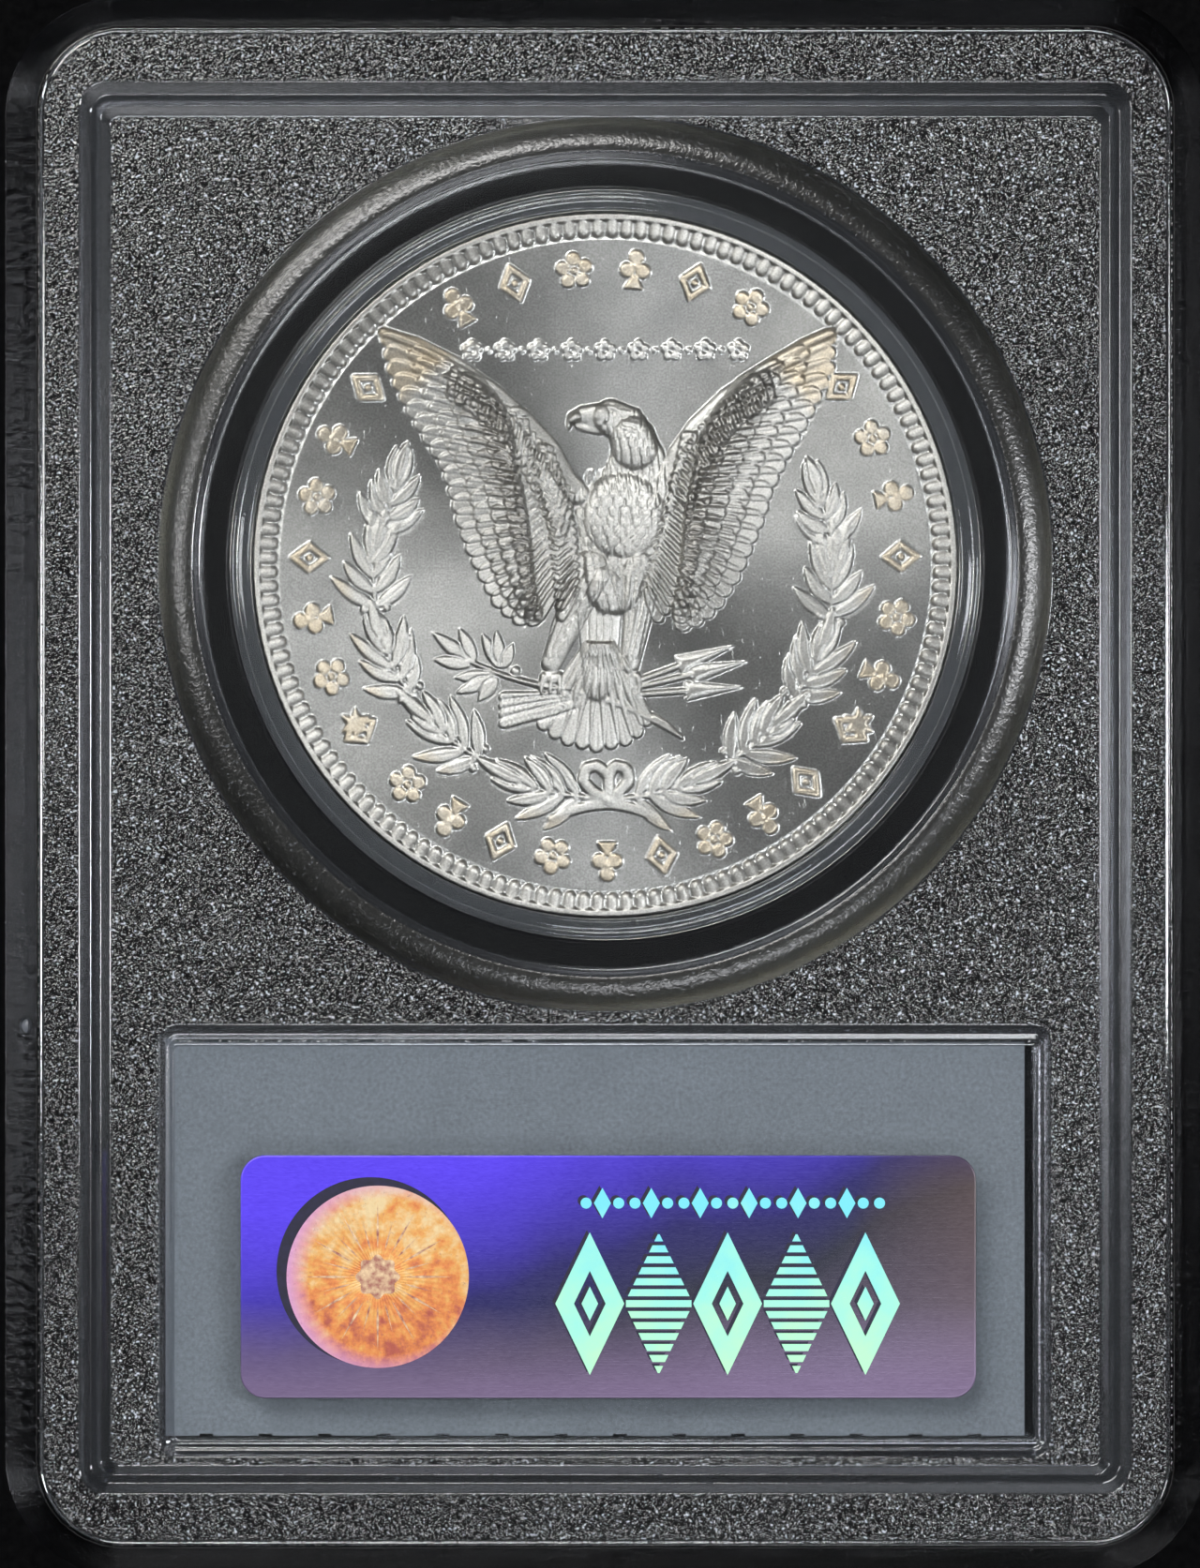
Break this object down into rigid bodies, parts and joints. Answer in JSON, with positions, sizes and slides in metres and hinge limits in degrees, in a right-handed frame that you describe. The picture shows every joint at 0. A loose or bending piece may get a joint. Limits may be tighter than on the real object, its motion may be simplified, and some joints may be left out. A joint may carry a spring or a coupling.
{
  "type": "graded coin slab",
  "caption": "Sealed clear plastic slab holding a large silver coin in a retaining ring above a label card, with a foil seal sticker on the back.",
  "frame": {"origin": "centre of the footprint, on the surface that the slab lies on, with its front face down", "axes": "+Z out of the back face, +Y from the label towards the coin, +X to the right when looking at the back face"},
  "size_m": [0.065, 0.0856, 0.008],
  "materials": {
    "clear_shell": "clear polystyrene, stippled faces with polished windows",
    "clear_ring": "polished clear",
    "silver": "uncirculated silver with light toning",
    "card": "matt grey card",
    "foil": "violet and mint iridescent foil"
  },
  "bodies": {
    "case": {"front_shell": "clear_shell", "back_shell": "clear_shell", "coin_ring": "clear_ring", "seal_sticker": "foil"},
    "coin": {"coin": "silver"},
    "label": {"label_card": "card"}
  },
  "joints": [
    {"name": "coin_turn", "type": "hinge", "parent": "case", "child": "coin", "pos_m": [0, 0.012, 0.004], "axis": [0, 0, 1], "continuous": true},
    {"name": "label_shift", "type": "slide", "parent": "case", "child": "label", "axis": [1, 0, 0], "range_m": [0, 0.0016]}
  ]
}
